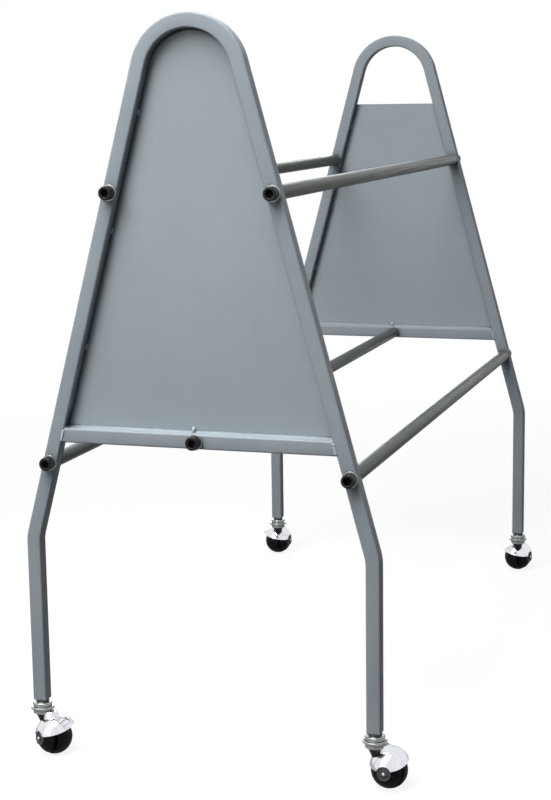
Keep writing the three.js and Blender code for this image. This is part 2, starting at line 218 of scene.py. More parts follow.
def lathe(bm, profile, segments, looped=False, radius_at=None):
    rings = []
    for i, (radius, height) in enumerate(profile):
        if radius < 1e-7:
            rings.append([bm.verts.new((0, 0, height))])
            continue
        ring = []
        for k in range(segments):
            angle = 2 * math.pi * k / segments
            r = radius_at(i, radius, angle) if radius_at else radius
            ring.append(bm.verts.new((r * math.cos(angle), r * math.sin(angle), height)))
        rings.append(ring)
    for a, b in zip(rings, rings[1:]):
        skin(bm, a, b)
    if looped:
        skin(bm, rings[-1], rings[0])


def close_ends(bm, runs):
    """Fills the wall between the outer and the inner rings at both ends of a tube."""
    for i in (0, -1):
        loops = [rings[i] for rings in runs]
        pairs = ((loop[k], loop[(k + 1) % len(loop)]) for loop in loops for k in range(len(loop)))
        edges = [bm.edges.get(pair) for pair in pairs]
        bmesh.ops.triangle_fill(bm, use_beauty=True, edges=edges)


def rounded_square(size, radius, steps):
    half = size / 2
    points = []
    for corner in range(4):
        turn = Matrix.Rotation(corner * math.pi / 2, 2)
        for step in range(steps + 1):
            angle = step / steps * math.pi / 2
            x, y = (half - radius + radius * way(angle) for way in (math.cos, math.sin))
            points.append(turn @ Vector((x, y)))
    return points


# Shader helpers
class Nodes:
    """A tree whose nodes are made and joined by short calls."""

    def __init__(self, tree):
        self.nodes, self.links = tree.nodes, tree.links

    def node(self, kind, **settings):
        made = self.nodes.new(kind)
        for key, value in settings.items():
            setattr(made, key, value)
        return made

    def feed(self, socket, value):
        if isinstance(value, bpy.types.NodeSocket):
            self.links.new(value, socket)
        else:
            socket.default_value = value

    def math(self, operation, a, b=0.0, clamp=False):
        made = self.node("ShaderNodeMath", operation=operation, use_clamp=clamp)
        self.feed(made.inputs[0], a)
        self.feed(made.inputs[1], b)
        return made.outputs[0]

    def times(self, a, b, clamp=False):
        return self.math("MULTIPLY", a, b, clamp)

    def span(self, value, low, high, out_low=0.0, out_high=1.0):
        made = self.node("ShaderNodeMapRange", interpolation_type="SMOOTHSTEP", clamp=True)
        self.feed(made.inputs["Value"], value)
        for key, number in zip(("From Min", "From Max", "To Min", "To Max"), (low, high, out_low, out_high)):
            made.inputs[key].default_value = number
        return made.outputs["Result"]

    def seen(self, gloss=1.0):
        """1 for the rays that show a surface to the eye, and gloss for those of a reflection."""
        path = self.node("ShaderNodeLightPath")
        seen = path.outputs["Is Camera Ray"]
        for key in ("Is Glossy Ray", "Is Transmission Ray"):
            seen = self.math("MAXIMUM", seen, self.times(path.outputs[key], gloss))
        return seen


class Shader(Nodes):
    """A surface material with its own place, colour, roughness and bump."""

    def __init__(self, name):
        self.material = bpy.data.materials.new(name)
        self.material.use_nodes = True
        super().__init__(self.material.node_tree)
        self.bsdf = self.nodes["Principled BSDF"]
        self.place = self.node("ShaderNodeTexCoord").outputs["Object"]

    def stretch(self, scale):
        mapping = self.node("ShaderNodeMapping")
        self.feed(mapping.inputs["Vector"], self.place)
        mapping.inputs["Scale"].default_value = scale
        return mapping.outputs["Vector"]

    def noise(self, scale, detail=3.0, rough=0.5, vector=None, distortion=0.0):
        made = self.node("ShaderNodeTexNoise")
        self.feed(made.inputs["Vector"], vector or self.place)
        made.inputs["Scale"].default_value = scale
        made.inputs["Detail"].default_value = detail
        made.inputs["Roughness"].default_value = rough
        made.inputs["Distortion"].default_value = distortion
        return made.outputs["Fac"]

    def cells(self, scale):
        made = self.node("ShaderNodeTexVoronoi", feature="F1")
        self.feed(made.inputs["Vector"], self.place)
        made.inputs["Scale"].default_value = scale
        return made.outputs["Distance"]

    def blend(self, share, a, b):
        made = self.node("ShaderNodeMix", data_type="RGBA", blend_type="MIX")
        self.feed(made.inputs["Factor"], share)
        self.feed(made.inputs["A"], a)
        self.feed(made.inputs["B"], b)
        return made.outputs["Result"]

    def tint(self, color, share, amount, other):
        return self.blend(self.times(share, amount), color, other)

    def bump(self, height, strength, distance, normal=None):
        made = self.node("ShaderNodeBump")
        made.inputs["Strength"].default_value = strength
        made.inputs["Distance"].default_value = distance
        self.feed(made.inputs["Height"], height)
        if normal is not None:
            self.feed(made.inputs["Normal"], normal)
        return made.outputs["Normal"]

    def edges(self, radius):
        """1 along outer edges and 0 elsewhere, from how far a softened normal turns."""
        soft = self.node("ShaderNodeBevel", samples=4)
        soft.inputs["Radius"].default_value = radius
        plain = self.node("ShaderNodeNewGeometry")
        turned = self.node("ShaderNodeVectorMath", operation="DOT_PRODUCT")
        self.feed(turned.inputs[0], soft.outputs["Normal"])
        self.feed(turned.inputs[1], plain.outputs["Normal"])
        return self.span(turned.outputs["Value"], 0.9, 0.995, 1.0, 0.0)

    def hollows(self, distance):
        """1 in corners and seams, 0 on open faces."""
        made = self.node("ShaderNodeAmbientOcclusion", samples=4)
        made.inputs["Distance"].default_value = distance
        return self.span(made.outputs["AO"], 0.35, 0.85, 1.0, 0.0)

    def upward(self):
        """1 where the surface looks up, 0 on its upright faces and -1 where it looks down."""
        parts = self.node("ShaderNodeSeparateXYZ")
        self.feed(parts.inputs[0], self.node("ShaderNodeNewGeometry").outputs["Normal"])
        return parts.outputs["Z"]

    def finish(self, color, roughness, normal=None, **fixed):
        self.feed(self.bsdf.inputs["Base Color"], color)
        self.feed(self.bsdf.inputs["Roughness"], roughness)
        if normal is not None:
            self.feed(self.bsdf.inputs["Normal"], normal)
        for key, value in fixed.items():
            self.bsdf.inputs[key.replace("_", " ")].default_value = value
        return self.material


def srgb(red, green, blue):
    """A colour as it shows on the screen, 0 to 255, in the renderer's linear values."""

    def linear(value):
        share = value / 255
        return share / 12.92 if share <= 0.04045 else ((share + 0.055) / 1.055) ** 2.4

    return (linear(red), linear(green), linear(blue), 1.0)


def frame_paint():
    s = Shader("frame_paint")
    broad = s.span(s.noise(5.0, 2.0), 0.35, 0.65)
    cloudy = s.span(s.noise(28.0, 4.0, 0.6), 0.3, 0.7)
    fine = s.span(s.noise(900.0, 2.0), 0.35, 0.65)
    color = s.blend(broad, srgb(143, 153, 160), srgb(151, 160, 166))
    color = s.tint(color, cloudy, 0.35, srgb(139, 149, 156))
    color = s.tint(color, fine, 0.12, srgb(170, 177, 181))
    streaks = s.span(s.noise(9.0, 3.0, 0.6, s.stretch((9.0, 9.0, 0.8))), 0.55, 0.8)
    color = s.tint(color, streaks, 0.22, srgb(128, 137, 143))
    # Painted shade: the paint turns dark navy in recesses and corners that do not face up, where shade falls.
    recess = s.times(s.hollows(30 * MM), s.span(s.upward(), 0.1, 0.6, 1.0, 0.0))
    painted_shade = s.times(recess, s.span(s.noise(60.0, 3.0), 0.3, 0.7, 1.2, 1.7), clamp=True)
    color = s.blend(painted_shade, color, srgb(44, 53, 64))
    wear = s.times(s.edges(0.8 * MM), s.span(s.noise(130.0, 4.0, 0.65), 0.5, 0.66))
    color = s.tint(color, wear, 0.7, srgb(186, 191, 194))
    specks = s.span(s.cells(46.0), 0.0, 0.045, 1.0, 0.0)
    specks = s.times(specks, s.span(s.noise(17.0, 2.0), 0.6, 0.7))
    color = s.tint(color, specks, 0.7, srgb(96, 101, 104))
    rough = s.span(s.noise(40.0, 4.0, 0.6), 0.3, 0.7, 0.46, 0.6)
    rough = s.math("SUBTRACT", rough, s.times(wear, 0.1))
    peel = s.bump(s.noise(420.0, 2.0), 0.10, 0.25 * MM)
    dents = s.bump(s.noise(11.0, 1.0), 0.25, 1.2 * MM, peel)
    chips = s.bump(wear, 0.25, -0.08 * MM, dents)
    return s.finish(color, rough, chips, Specular_IOR_Level=0.26)


def panel_paint():
    s = Shader("panel_paint")
    broad = s.span(s.noise(3.2, 2.0), 0.35, 0.65)
    cloudy = s.span(s.noise(20.0, 5.0, 0.6), 0.3, 0.7)
    fine = s.span(s.noise(900.0, 2.0), 0.35, 0.65)
    color = s.blend(broad, srgb(151, 161, 167), srgb(158, 167, 173))
    color = s.tint(color, cloudy, 0.3, srgb(147, 157, 163))
    color = s.tint(color, fine, 0.10, srgb(170, 177, 181))
    drift = s.span(s.noise(6.0, 3.0, 0.6, s.stretch((7.0, 1.0, 0.5))), 0.5, 0.8)
    color = s.tint(color, drift, 0.16, srgb(140, 149, 156))
    # Painted shade: the panel darkens near its corners and seams, where shade falls.
    painted_shade = s.times(s.hollows(9 * MM), s.span(s.noise(50.0, 3.0), 0.3, 0.7, 0.3, 0.6))
    color = s.blend(painted_shade, color, srgb(90, 98, 106))
    scratch = s.span(s.noise(70.0, 2.0, 0.5, s.stretch((1.0, 1.0, 0.06)), 0.6), 0.73, 0.78)
    scratch = s.times(scratch, s.span(s.noise(4.0, 2.0), 0.55, 0.7))
    color = s.tint(color, scratch, 0.35, srgb(176, 182, 186))
    rough = s.span(s.noise(26.0, 4.0, 0.6), 0.3, 0.7, 0.42, 0.56)
    peel = s.bump(s.noise(420.0, 2.0), 0.08, 0.25 * MM)
    waves = s.bump(s.noise(5.5, 1.0), 0.35, 3.0 * MM, peel)
    marks = s.bump(scratch, 0.2, -0.05 * MM, waves)
    return s.finish(color, rough, marks, Specular_IOR_Level=0.35)


def weld_paint_and_highlight():
    s = Shader("weld_paint_and_highlight")
    # Painted highlight: the beads wear the frame's paint made lighter, for the light caught by the raised
    # beads.
    patches = s.span(s.noise(260.0, 3.0, 0.6), 0.35, 0.65)
    color = s.blend(patches, srgb(170, 178, 184), srgb(196, 202, 206))
    # Painted shade: darker in the creases of the bead.
    color = s.tint(color, s.hollows(2.5 * MM), 0.35, srgb(112, 119, 124))
    rough = s.span(s.noise(300.0, 3.0), 0.3, 0.7, 0.34, 0.5)
    return s.finish(color, rough, s.bump(s.noise(600.0, 3.0), 0.25, 0.2 * MM), Specular_IOR_Level=0.45)


def rail_paint():
    s = Shader("rail_paint")
    along = s.stretch((1.0, 0.03, 1.0))
    streaks = s.span(s.noise(260.0, 4.0, 0.6, along), 0.3, 0.7)
    bands = s.span(s.noise(90.0, 3.0, 0.6, s.stretch((1.0, 0.015, 1.0))), 0.35, 0.65)
    # Partly painted shade: the rail's paint is set darker than the paint itself, for the shade of the balls
    # that lie on the rails.
    color = s.blend(streaks, srgb(72, 79, 76), srgb(95, 102, 98))
    color = s.tint(color, bands, 0.5, srgb(56, 62, 59))
    rubbed = s.times(s.span(s.noise(12.0, 3.0), 0.45, 0.7), s.span(s.noise(160.0, 3.0), 0.4, 0.7))
    color = s.tint(color, rubbed, 0.4, srgb(112, 117, 113))
    # Painted shade: darker in hollows and corners.
    color = s.tint(color, s.hollows(6 * MM), 0.6, srgb(58, 60, 58))
    rough = s.span(streaks, 0.0, 1.0, 0.34, 0.5)
    drawn = s.bump(streaks, 0.12, 0.12 * MM)
    dimples = s.bump(s.noise(50.0, 2.0), 0.12, 0.5 * MM, drawn)
    return s.finish(color, rough, dimples, Metallic=0.1, Specular_IOR_Level=0.32)


def black_steel():
    s = Shader("black_steel")
    patches = s.span(s.noise(220.0, 3.0), 0.35, 0.65)
    color = s.blend(patches, srgb(13, 15, 14), srgb(27, 30, 28))
    wear = s.times(s.edges(0.45 * MM), s.span(s.noise(420.0, 3.0), 0.45, 0.65))
    color = s.tint(color, wear, 0.5, srgb(84, 86, 80))
    # Painted shade: darker in hollows, such as the knurls and the socket's mouth.
    color = s.tint(color, s.hollows(1.5 * MM), 0.35, srgb(14, 14, 14))
    rough = s.span(s.noise(300.0, 3.0), 0.3, 0.7, 0.38, 0.55)
    normal = s.bump(s.noise(1400.0, 2.0), 0.15, 0.08 * MM)
    return s.finish(color, rough, normal, Metallic=0.2, Specular_IOR_Level=0.3)


def bright_metal(name, light, dark, rough_low, rough_high, metallic, pit_and_shade_color):
    s = Shader(name)
    clouds = s.span(s.noise(90.0, 4.0, 0.6), 0.35, 0.65)
    color = s.blend(clouds, light, dark)
    pits = s.span(s.cells(520.0), 0.05, 0.16, 1.0, 0.0)
    pits = s.times(pits, s.span(s.noise(140.0, 2.0), 0.55, 0.7))
    color = s.tint(color, pits, 0.6, pit_and_shade_color)
    # Painted shade: darker in hollows and seams, in the colour of the pits.
    painted_hollow_shade = s.times(s.hollows(2.5 * MM), s.span(s.noise(260.0, 3.0), 0.3, 0.7, 0.35, 0.8))
    color = s.blend(painted_hollow_shade, color, pit_and_shade_color)
    rubs = s.noise(500.0, 3.0, 0.6, s.stretch((1.0, 1.0, 0.15)))
    rough = s.span(rubs, 0.3, 0.75, rough_low, rough_high)
    normal = s.bump(rubs, 0.05, 0.08 * MM)
    normal = s.bump(pits, 0.2, -0.1 * MM, normal)
    return s.finish(color, rough, normal, Metallic=metallic)


def black_rubber():
    s = Shader("black_rubber")
    patches = s.span(s.noise(120.0, 4.0, 0.6), 0.35, 0.65)
    color = s.blend(patches, srgb(5, 5, 6), srgb(13, 13, 14))
    color = s.tint(color, s.span(s.noise(60.0, 5.0, 0.7), 0.52, 0.75), 0.4, srgb(34, 33, 32))
    scuffs = s.span(s.noise(300.0, 3.0, 0.6, s.stretch((1.0, 1.0, 0.2)), 0.4), 0.62, 0.72)
    color = s.tint(color, scuffs, 0.3, srgb(58, 57, 55))
    rough = s.span(s.noise(200.0, 3.0), 0.3, 0.7, 0.36, 0.52)
    normal = s.bump(s.noise(1100.0, 2.0), 0.1, 0.08 * MM)
    normal = s.bump(scuffs, 0.15, -0.06 * MM, normal)
    return s.finish(color, rough, normal, Specular_IOR_Level=0.12)


def grey_cap():
    s = Shader("grey_cap")
    patches = s.span(s.noise(240.0, 4.0, 0.6), 0.35, 0.65)
    color = s.blend(patches, srgb(66, 67, 70), srgb(86, 87, 89))
    worn = s.times(s.edges(0.4 * MM), s.span(s.noise(500.0, 3.0), 0.4, 0.65))
    color = s.tint(color, worn, 0.5, srgb(132, 133, 134))
    # Painted shade: darker in the grooves and corners.
    color = s.tint(color, s.hollows(1.2 * MM), 0.75, srgb(30, 30, 31))
    rough = s.span(s.noise(400.0, 3.0), 0.3, 0.7, 0.34, 0.5)
    normal = s.bump(s.noise(1500.0, 2.0), 0.1, 0.06 * MM)
    return s.finish(color, rough, normal, Specular_IOR_Level=0.4)


# The inside of the hex socket: the bolt's black steel darkened further, as painted shade in the hole.
def socket_black_and_shade():
    s = Shader("socket_black_and_shade")
    patches = s.span(s.noise(400.0, 3.0), 0.35, 0.65)
    color = s.blend(patches, srgb(4, 4, 5), srgb(12, 12, 13))
    rough = s.span(s.noise(700.0, 2.0), 0.3, 0.7, 0.6, 0.8)
    return s.finish(color, rough, s.bump(s.noise(900.0, 2.0), 0.2, 0.1 * MM), Specular_IOR_Level=0.1)


# Painted shade: the dark paint of the joint between panel and tube stands for the shade in the gap.
def seam_painted_shade():
    s = Shader("seam_painted_shade")
    patches = s.span(s.noise(160.0, 4.0, 0.6), 0.35, 0.65)
    color = s.blend(patches, srgb(58, 63, 68), srgb(78, 84, 89))
    color = s.tint(color, s.span(s.noise(420.0, 3.0), 0.5, 0.7), 0.4, srgb(104, 108, 110))
    rough = s.span(s.noise(300.0, 3.0), 0.3, 0.7, 0.5, 0.7)
    return s.finish(color, rough, s.bump(s.noise(700.0, 3.0), 0.3, 0.2 * MM), Specular_IOR_Level=0.3)


FRAME_PAINT = frame_paint()
SEAM_PAINTED_SHADE = seam_painted_shade()
WELD_PAINT_AND_HIGHLIGHT = weld_paint_and_highlight()
PANEL_PAINT = panel_paint()
RAIL_PAINT_AND_SHADE = rail_paint()
BLACK_STEEL = black_steel()
SOCKET_BLACK_AND_SHADE = socket_black_and_shade()
ZINC = bright_metal("zinc", srgb(176, 180, 178), srgb(152, 157, 155), 0.28, 0.45, 0.9, srgb(70, 70, 64))
# Painted shade: a dark metal for the neck cone under the collar, which stands for the shade there.
NECK_PAINTED_SHADE = bright_metal("neck_painted_shade", srgb(40, 41, 42), srgb(28, 29, 30), 0.35, 0.5, 0.6, srgb(18, 18, 17))
DULL_STEEL = bright_metal("dull_steel", srgb(92, 94, 92), srgb(68, 70, 68), 0.35, 0.5, 0.85, srgb(38, 37, 34))
CHROME = bright_metal(
    "chrome", srgb(232, 234, 237), srgb(222, 224, 230), 0.06, 0.16, 1.0, srgb(120, 118, 118)
)
BLACK_RUBBER = black_rubber()
GREY_CAP = grey_cap()


# End frames: a square tube swept along the legs and over the arch
def frame_stations():
    left = []

    def put(x, z, angle):
        left.append((Vector((x, 0, z)), angle))

    corner = BEND_HEIGHT - HALF_TUBE * math.tan(SLANT / 2)
    bend_start = corner - BEND_RADIUS * math.tan(SLANT / 2)
    put(-LEG_X, LEG_END, 0)
    put(-LEG_X, LEG_END + TUBE_BEVEL, 0)
    bend_steps, arch_steps = 14, 30
    for step in range(bend_steps + 1):
        angle = step / bend_steps * SLANT
        x = -LEG_X + BEND_RADIUS * (1 - math.cos(angle))
        put(x, bend_start + BEND_RADIUS * math.sin(angle), angle)
    radius = ARCH_RADIUS - HALF_TUBE
    for step in range(arch_steps):
        angle = SLANT + step / arch_steps * (math.pi / 2 - SLANT)
        put(-radius * math.cos(angle), ARCH_CENTRE + radius * math.sin(angle), angle)
    top = (Vector((0, 0, ARCH_TOP - HALF_TUBE)), math.pi / 2)
    right = [(Vector((-p.x, 0, p.z)), math.pi - a) for p, a in reversed(left)]
    return left + [top] + right


def tube_sections():
    inside = rounded_square(TUBE - 2 * TUBE_WALL, TUBE_CORNER - TUBE_WALL, 3)
    return rounded_square(TUBE, TUBE_CORNER, 6), inside


def end_frame(end):
    stations = frame_stations()
    outer, inner = tube_sections()
    bm = bmesh.new()
    runs = []
    for section, trim in ((outer, TUBE_BEVEL), (inner, 0.0)):
        rings = []
        for i, (point, angle) in enumerate(stations):
            across = Vector((math.cos(angle), 0, -math.sin(angle)))
            at_end = i in (0, len(stations) - 1)
            share = 1 - trim / HALF_TUBE if at_end else 1.0
            ways = (across * p.x + Vector((0, p.y, 0)) for p in section)
            rings.append([bm.verts.new(point + way * share) for way in ways])
        for a, b in zip(rings, rings[1:]):
            skin(bm, a, b)
        runs.append(rings)
    close_ends(bm, runs)
    place_end("frame_tube", bm, FRAME_PAINT, end, [f"end_frame_{end}"])


def crossbar(end):
    inset = TUBE + SEAT_GAP
    outer, inner = tube_sections()
    bm = bmesh.new()
    runs = []
    for section in (outer, inner):
        rings = []
        for side in (-1, 1):
            ring = []
            for p in section:
                z = CROSSBAR_HEIGHT + p.y
                ring.append(bm.verts.new((side * slant_x(z, inset), p.x, z)))
            rings.append(ring)
        skin(bm, *rings)
        runs.append(rings)
    close_ends(bm, runs)
    place_end("crossbar_tube", bm, FRAME_PAINT, end, [f"crossbar_{end}"])


def panel(end):
    inset = TUBE + PANEL_EDGE_GAP
    radius = ARCH_RADIUS - inset + PANEL_ARCH_EXTRA
    centre = ARCH_CENTRE - PANEL_ARCH_EXTRA / math.sin(SLANT)
    foot = CROSSBAR_HEIGHT + HALF_TUBE + SEAT_GAP
    outline = [(-slant_x(foot, inset), foot), (slant_x(foot, inset), foot)]
    if end == "near":
        for step in range(ARCH_STEPS + 1):
            angle = SLANT + step / ARCH_STEPS * (math.pi - 2 * SLANT)
            outline.append((radius * math.cos(angle), centre + radius * math.sin(angle)))
    else:
        outline += [(side * slant_x(FAR_PANEL_TOP, inset), FAR_PANEL_TOP) for side in (1, -1)]
    back = HALF_TUBE - TUBE_CORNER
    bm = bmesh.new()
    low, high = back - PANEL_THICKNESS, back
    layers = []
    for y, trim in ((low, PANEL_EDGE), (low + PANEL_EDGE, 0), (high - PANEL_EDGE, 0), (high, PANEL_EDGE)):
        ring = []
        for x, z in outline:
            inward = (PANEL_MIDDLE - Vector((x, z))).normalized() * trim
            ring.append(bm.verts.new((x + inward.x, y, z + inward.y)))
        layers.append(ring)
    for a, b in zip(layers, layers[1:]):
        skin(bm, a, b)
    bm.faces.new(layers[0])
    bm.faces.new(reversed(layers[-1]))
    place_end("panel_sheet", bm, PANEL_PAINT, end, [f"end_panel_{end}"])


def seam_lines(end, inset, radius):
    """The joint between tube and panel, in one run over the near arch or two beside the far opening."""
    foot = CROSSBAR_HEIGHT + HALF_TUBE
    if end == "far":
        return [[(side * slant_x(z, inset), z) for z in (foot, FAR_PANEL_TOP)[::-side]] for side in (-1, 1)]
    points = [(-slant_x(foot, inset), foot)]
    for step in range(ARCH_STEPS + 1):
        angle = math.pi - SLANT - step / ARCH_STEPS * (math.pi - 2 * SLANT)
        points.append((radius * math.cos(angle), ARCH_CENTRE + radius * math.sin(angle)))
    return [points + [(slant_x(foot, inset), foot)]]


def seam_fill(end):
    """Paint-filled joint between the tube's inner faces and the panel's edge, coloured dark as painted shade
    in the gap.
    """
    back = HALF_TUBE - TUBE_CORNER
    low, high = back - PANEL_THICKNESS - SEAM_PROUD, back + SEAM_PROUD
    outer = seam_lines(end, TUBE - SEAM_LAP, ARCH_RADIUS - TUBE + SEAM_LAP)
    inner = seam_lines(end, TUBE + PANEL_EDGE_GAP + SEAM_REACH, ARCH_RADIUS - TUBE - SEAM_ARCH_REACH)
    bm = bmesh.new()
    for outside, inside in zip(outer, inner):
        lines = []
        edges = ((inside, low + SEAM_EDGE), (inside, high - SEAM_EDGE))
        for points, y in ((outside, low), *edges, (outside, high)):
            lines.append([bm.verts.new((x, y, z)) for x, z in points])
        for a, b in zip(lines, lines[1:] + lines[:1]):
            skin(bm, a, b, closed=False)
        bm.faces.new([line[0] for line in lines])
        bm.faces.new([line[-1] for line in reversed(lines)])
    place_end("seam_fill", bm, SEAM_PAINTED_SHADE, end)


def foot_fillet(end):
    """The bead that fills the corner between the crossbar's top and the panel's face."""
    sheet = HALF_TUBE - TUBE_CORNER - PANEL_THICKNESS
    top = CROSSBAR_HEIGHT + HALF_TUBE
    inset = TUBE + 0.1 * MM
    runs, steps = 160, 8
    bm = bmesh.new()
    rings = []
    for i in range(runs + 1):
        share = 2 * i / runs - 1
        at = Vector((share * slant_x(top, inset) / (5 * MM), 0, 11.3 if end == "near" else 47.9))
        size = FOOT_FILLET * (1 + 0.14 * noise.noise(at) + 0.05 * noise.noise(at * 4))
        profile = [(0.1 * MM, -0.1 * MM), (0.1 * MM, size)]
        for step in range(steps + 1):
            angle = math.pi / 2 * step / steps
            profile.append((-size * (1 - math.cos(angle)), size * (1 - math.sin(angle))))
        profile.append((-size, -0.1 * MM))
        places = ((share * slant_x(top + z, inset), sheet + y, top + z) for y, z in profile)
        rings.append([bm.verts.new(place) for place in places])
    for a, b in zip(rings, rings[1:]):
        skin(bm, a, b)
    bm.faces.new(rings[0])
    bm.faces.new(reversed(rings[-1]))
    place_end("foot_fillet", bm, FRAME_PAINT, end, smooth=math.radians(50))


# Weld beads and tacks
BEAD, FRONT_BEAD, TACK, CENTRE_TACK = 1.5 * MM, 1.8 * MM, 1.7 * MM, 2.4 * MM
BEAD_CORNER, BEAD_SINK = 1.6 * MM, 0.3 * MM
BEAD_STEP, BEAD_RIPPLE, BEAD_LUMP = 0.35 * MM, 1.9 * MM, 1.6 * MM
TACK_RUN = 4 * MM
TACK_HEIGHTS = {"near": (0.56, 0.71, 0.86), "far": (0.56, 0.71, 0.82)}


def weld(name, points, radius, seed):
    """A bead laid along points, rippled across its run and thinning out at both ends."""
    points = [Vector(p) for p in points]
    lengths = [0.0]
    for a, b in zip(points, points[1:]):
        lengths.append(lengths[-1] + (b - a).length)
    total = lengths[-1]
    steps = max(10, int(total / BEAD_STEP))
    bm = bmesh.new()
    rings = []
    for step in range(steps + 1):
        run = total * step / steps
        i = max(k for k in range(len(points) - 1) if lengths[k] <= run + 1e-9)
        share = (run - lengths[i]) / (lengths[i + 1] - lengths[i])
        centre = points[i].lerp(points[i + 1], share)
        along = (points[i + 1] - points[i]).normalized()
        side = along.orthogonal().normalized()
        up = along.cross(side)
        end_share = min(run, total - run) / (1.1 * radius)
        swell = math.sqrt(max(0.0, 1 - (1 - min(1.0, end_share)) ** 2))
        size = radius * max(0.04, swell) * (1 + 0.13 * abs(math.sin(math.pi * run / BEAD_RIPPLE)))
        ring = []
        for k in range(14):
            angle = 2 * math.pi * k / 14
            way = side * math.cos(angle) + up * math.sin(angle)
            lump = noise.noise((centre + way * radius) / BEAD_LUMP + Vector((seed, 0, 0)))
            ring.append(bm.verts.new(centre + way * size * (1 + 0.18 * lump)))
        rings.append(ring)
    for a, b in zip(rings, rings[1:]):
        skin(bm, a, b)
    bm.faces.new(rings[0])
    bm.faces.new(reversed(rings[-1]))
    piece = place_object(name, bm, WELD_PAINT_AND_HIGHLIGHT, "cart", smooth=math.pi)
    piece.location = CENTRE_SHIFT


def end_welds(end):
    side = ENDS[end]
    front = side * FRAME_Y - HALF_TUBE
    back = side * FRAME_Y + HALF_TUBE
    sheet = side * FRAME_Y + HALF_TUBE - TUBE_CORNER - PANEL_THICKNESS
    top, foot = CROSSBAR_HEIGHT + HALF_TUBE, CROSSBAR_HEIGHT - HALF_TUBE
    low, high = foot + BEAD_CORNER, top - BEAD_CORNER
    for place, hand in (("left", -1), ("right", 1)):
        def joint(z, y):
            return (hand * slant_x(z, TUBE), y, z)

        slope = -hand * math.tan(SLANT)
        beads = [
            ("crossbar_front", joint(low, front + BEAD_SINK), joint(high, front + BEAD_SINK), FRONT_BEAD, 1),
            ("crossbar_back", joint(low, back - BEAD_SINK), joint(high, back - BEAD_SINK), BEAD, 5),
            ("crossbar_top", joint(top, front + BEAD_CORNER), joint(top, sheet - 1 * MM), BEAD, 9),
        ]
        for kind, start, stop, radius, seed in beads:
            weld(f"weld_{kind}_{place}_{end}", [start, stop], radius, seed + hand)
        for i, z in enumerate(TACK_HEIGHTS[end]):
            x, y = hand * slant_x(z, TUBE), sheet - 0.2 * MM
            run = [(x - slope * TACK_RUN, y, z - TACK_RUN), (x + slope * TACK_RUN, y, z + TACK_RUN)]
            weld(f"weld_panel_{place}_{i}_{end}", run, TACK, 13 + 3 * i + hand)
    run = [(-6.6 * MM, sheet - 2.4 * MM, top + 0.6 * MM), (-6.6 * MM, sheet - 0.4 * MM, top + 7.5 * MM)]
    weld(f"weld_foot_centre_{end}", run, CENTRE_TACK, 37)


# Rails and their bolts
def rail(place):
    x, z = RAILS[place]
    half = (CART_LENGTH - 2 * TUBE - 2 * SEAT_GAP) / 2
    outer, inner, edge = RAIL_DIAMETER / 2, RAIL_DIAMETER / 2 - RAIL_WALL, 0.35 * MM
    profile = rounded([(inner, -half, 0), (outer, -half, edge), (outer, half, edge), (inner, half, 0)], 3)
    bm = bmesh.new()
    lathe(bm, profile, 72, looped=True)
    piece = place_object(f"rail_tube_{place}", bm, RAIL_PAINT_AND_SHADE, "cart", [f"rail_{place}"])
    piece.location = CENTRE_SHIFT + Vector((x, 0, z))
    piece.data.transform(Euler((math.radians(90), 0, 0)).to_matrix().to_4x4())


BOLT_HEAD, BOLT_HEAD_HEIGHT = 9 * MM, 12 * MM
BOLT_SOCKET, BOLT_SOCKET_DEPTH = 5 * MM, 6 * MM
WASHER, WASHER_THICKNESS = 10.5 * MM, 1.6 * MM
BOLT_SHANK = 6 * MM
BOLT_SEGMENTS, KNURLS, KNURL_DEPTH = 216, 36, 0.28 * MM


def hexagon_radius(apothem, angle):
    third = math.pi / 3
    return apothem / math.cos((angle % third) - third / 2)


def bolt_mesh():
    """A knurled socket head on its washer, head towards -Z, the washer's seat at Z 0."""
    face = -SEAT_GAP - WASHER_THICKNESS
    top = face - BOLT_HEAD_HEIGHT
    chamfer = 0.9 * MM
    socket_top = top + 0.5 * MM
    rows = [
        (0, top + BOLT_SOCKET_DEPTH + 1.0 * MM, "round"),
        (BOLT_SOCKET, top + BOLT_SOCKET_DEPTH, "hex"),
        (BOLT_SOCKET, socket_top, "hex"),
        (BOLT_SOCKET + 0.75 * MM, top + 0.06 * MM, "round"),
        (BOLT_SOCKET + 1.0 * MM, top, "round"),
        (BOLT_HEAD - chamfer - 0.3 * MM, top, "round"),
        (BOLT_HEAD - chamfer, top + 0.08 * MM, "round"),
        (BOLT_HEAD - 0.3 * MM, top + chamfer * 0.8, "round"),
        (BOLT_HEAD, top + chamfer + 0.5 * MM, "knurl"),
        (BOLT_HEAD, face - 1.2 * MM, "knurl"),
        (BOLT_HEAD - 0.3 * MM, face - 0.8 * MM, "round"),
        (BOLT_HEAD - 0.3 * MM, face, "round"),
    ]
    washer = rounded(
        [
            (BOLT_HEAD - 0.6 * MM, face, 0),
            (WASHER, face, 0.35 * MM),
            (WASHER, -SEAT_GAP, 0.35 * MM),
            (BOLT_SHANK, -SEAT_GAP, 0),
        ],
        3,
    )
    tip = TUBE + 16 * MM
    rows += [(r, z, "round") for r, z in washer]
    end = 0.8 * MM
    rows += [(BOLT_SHANK, tip - end, "round"), (BOLT_SHANK - end, tip, "round"), (0, tip, "round")]

    def radius_at(i, radius, angle):
        kind = rows[i][2]
        if kind == "hex":
            return hexagon_radius(radius, angle)
        if kind == "knurl":
            return radius - KNURL_DEPTH * (0.5 - 0.5 * math.cos(KNURLS * angle))
        return radius

    bm = bmesh.new()
    lathe(bm, [(r, z) for r, z, _ in rows], BOLT_SEGMENTS, radius_at=radius_at)
    return bm


